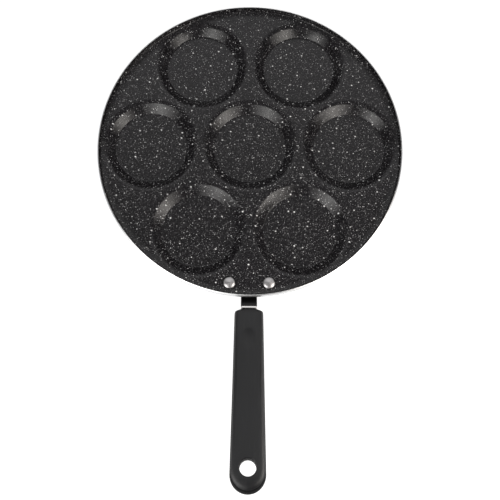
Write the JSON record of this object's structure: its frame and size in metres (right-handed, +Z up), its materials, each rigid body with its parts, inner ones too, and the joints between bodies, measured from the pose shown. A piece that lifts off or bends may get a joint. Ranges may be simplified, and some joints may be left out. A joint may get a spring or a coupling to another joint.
{
  "type": "egg and pancake pan",
  "caption": "Round cast-aluminium pan with flat-bottomed round cups for eggs or small pancakes, speckled non-stick coat, riveted bracket and rising black grip with a hang hole.",
  "frame": {"origin": "on the flat underside of the middle cup, on the axis of the rim, where the pan stands", "axes": "+Z up out of the cups; +Y away from the handle, which runs towards -Y and rises; +X to the right seen from the handle"},
  "size_m": [0.27, 0.4206, 0.0534],
  "materials": {
    "coated_casting": "satin",
    "rivet_metal": "satin",
    "bracket_paint": "satin",
    "collar_metal": "satin",
    "grip_black": "matte",
    "screw_steel": "satin"
  },
  "bodies": {
    "root": {"pan_body": "coated_casting", "rivet_left": "rivet_metal", "rivet_right": "rivet_metal", "handle_bracket": "bracket_paint", "heat_collar": "collar_metal", "handle_grip": "grip_black", "grip_screw": "screw_steel", "lock_washer": "screw_steel"}
  },
  "joints": []
}
